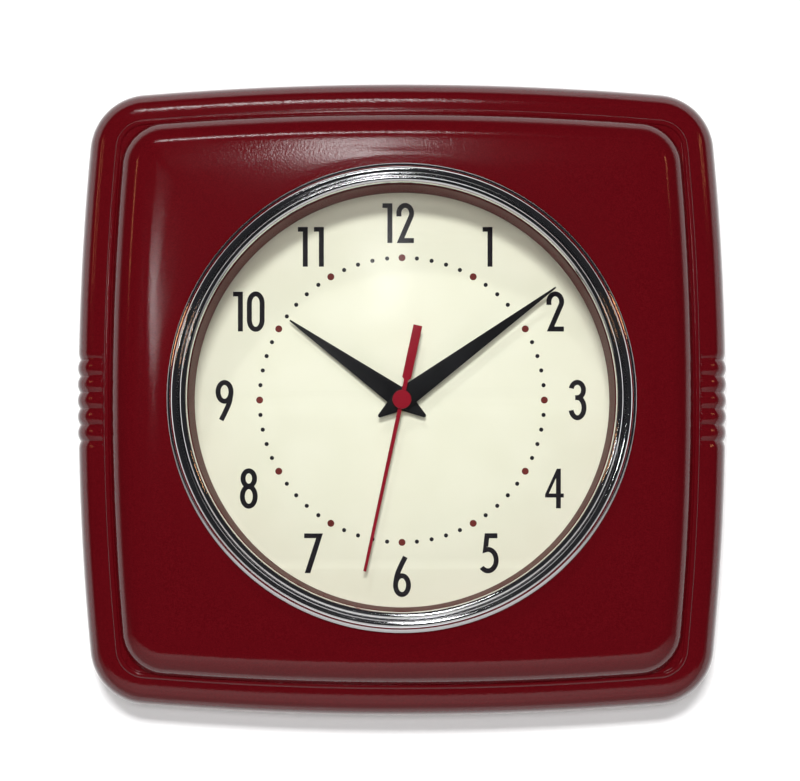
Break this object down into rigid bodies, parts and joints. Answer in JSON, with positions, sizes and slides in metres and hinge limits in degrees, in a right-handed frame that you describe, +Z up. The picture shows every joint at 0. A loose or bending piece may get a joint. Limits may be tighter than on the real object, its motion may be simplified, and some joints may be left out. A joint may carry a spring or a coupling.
{
  "type": "wall clock",
  "caption": "Square wall clock with a bowed glossy case, a chrome ring round a domed lens, a cream dial and a battery quartz movement behind it.",
  "frame": {"origin": "top of the hanging slot, where the hook bears, in the plane of the wall", "axes": "+Z up, +Y into the wall, +X to the right as the dial is read; the dial faces -Y"},
  "size_m": [0.241, 0.0533, 0.235],
  "materials": {
    "case_red": "glossy moulded colour",
    "ring_chrome": "bright plated",
    "lens_clear": "clear moulded",
    "dial_cream": "satin paint on aluminium sheet",
    "hand_black": "satin paint",
    "hand_red": "satin paint",
    "plastic_black": "fine moulded texture",
    "plastic_white": "moulded acetal",
    "brass": "turned",
    "steel": "bright zinc plate",
    "rubber": "matt",
    "copper": "enamelled copper wire",
    "board_green": "solder resist",
    "magnet": "moulded ferrite",
    "battery_sleeve": "printed sleeve"
  },
  "bodies": {
    "case": {"case_shell": "case_red", "bezel_ring": "ring_chrome", "lens": "lens_clear", "dial_plate": "dial_cream", "dial_screw_1": "steel", "dial_screw_2": "steel", "dial_screw_3": "steel", "dial_screw_4": "steel", "rear_cover": "plastic_black", "rear_screw_1": "steel", "rear_screw_2": "steel", "rear_screw_3": "steel", "rear_screw_4": "steel", "movement_base": "plastic_black", "movement_cover": "plastic_black", "train_plate": "plastic_white", "intermediate_bridge": "plastic_white", "threaded_bushing": "brass", "rubber_washer": "rubber", "clamp_washer": "brass", "hex_nut": "brass", "stator": "steel", "coil_core": "steel", "coil_bobbin": "plastic_white", "coil_winding": "copper", "circuit_board": "board_green", "driver_chip": "plastic_black", "quartz_crystal": "steel", "battery": "battery_sleeve", "positive_contact": "steel", "negative_contact": "steel"},
    "minute_hand_body": {"minute_hand": "hand_black", "cannon_pinion": "brass", "centre_wheel": "brass"},
    "hour_hand_body": {"hour_hand": "hand_black", "hour_wheel": "plastic_white"},
    "second_hand_body": {"second_hand": "hand_red", "second_hand_hub": "hand_red", "second_wheel": "steel"},
    "third_wheel_body": {"third_wheel": "plastic_white"},
    "intermediate_wheel_body": {"intermediate_wheel": "plastic_white"},
    "rotor_body": {"rotor_magnet": "magnet", "rotor_pinion": "plastic_white"},
    "minute_wheel_body": {"minute_wheel": "plastic_white"},
    "setting_knob_body": {"setting_knob": "plastic_white"}
  },
  "joints": [
    {"name": "minute_hand_turn", "type": "hinge", "parent": "case", "child": "minute_hand_body", "pos_m": [0, -0.026, -0.088], "axis": [0, 1, 0], "continuous": true},
    {"name": "hour_hand_turn", "type": "hinge", "parent": "case", "child": "hour_hand_body", "pos_m": [0, -0.024, -0.088], "axis": [0, 1, 0], "continuous": true},
    {"name": "second_hand_turn", "type": "hinge", "parent": "case", "child": "second_hand_body", "pos_m": [0, -0.028, -0.088], "axis": [0, 1, 0], "continuous": true},
    {"name": "third_wheel_turn", "type": "hinge", "parent": "case", "child": "third_wheel_body", "pos_m": [-0.00721, -0.012, -0.08079], "axis": [0, 1, 0], "continuous": true},
    {"name": "intermediate_wheel_turn", "type": "hinge", "parent": "case", "child": "intermediate_wheel_body", "pos_m": [0.00657, -0.009, -0.09039], "axis": [0, 1, 0], "continuous": true},
    {"name": "rotor_turn", "type": "hinge", "parent": "case", "child": "rotor_body", "pos_m": [0.01256, -0.011, -0.09039], "axis": [0, 1, 0], "continuous": true},
    {"name": "minute_wheel_turn", "type": "hinge", "parent": "case", "child": "minute_wheel_body", "pos_m": [-0.00789, -0.015, -0.09087], "axis": [0, 1, 0], "continuous": true},
    {"name": "setting_knob_turn", "type": "hinge", "parent": "case", "child": "setting_knob_body", "pos_m": [-0.01629, -0.008, -0.09087], "axis": [0, 1, 0], "continuous": true}
  ],
  "couplings": [
    {"joint": "hour_hand_turn", "follows": "minute_hand_turn", "ratio": 0.083333},
    {"joint": "minute_wheel_turn", "follows": "minute_hand_turn", "ratio": -0.33333},
    {"joint": "setting_knob_turn", "follows": "minute_hand_turn", "ratio": 1},
    {"joint": "third_wheel_turn", "follows": "minute_hand_turn", "ratio": -8},
    {"joint": "second_hand_turn", "follows": "minute_hand_turn", "ratio": 60},
    {"joint": "intermediate_wheel_turn", "follows": "minute_hand_turn", "ratio": -360},
    {"joint": "rotor_turn", "follows": "minute_hand_turn", "ratio": 1800}
  ]
}
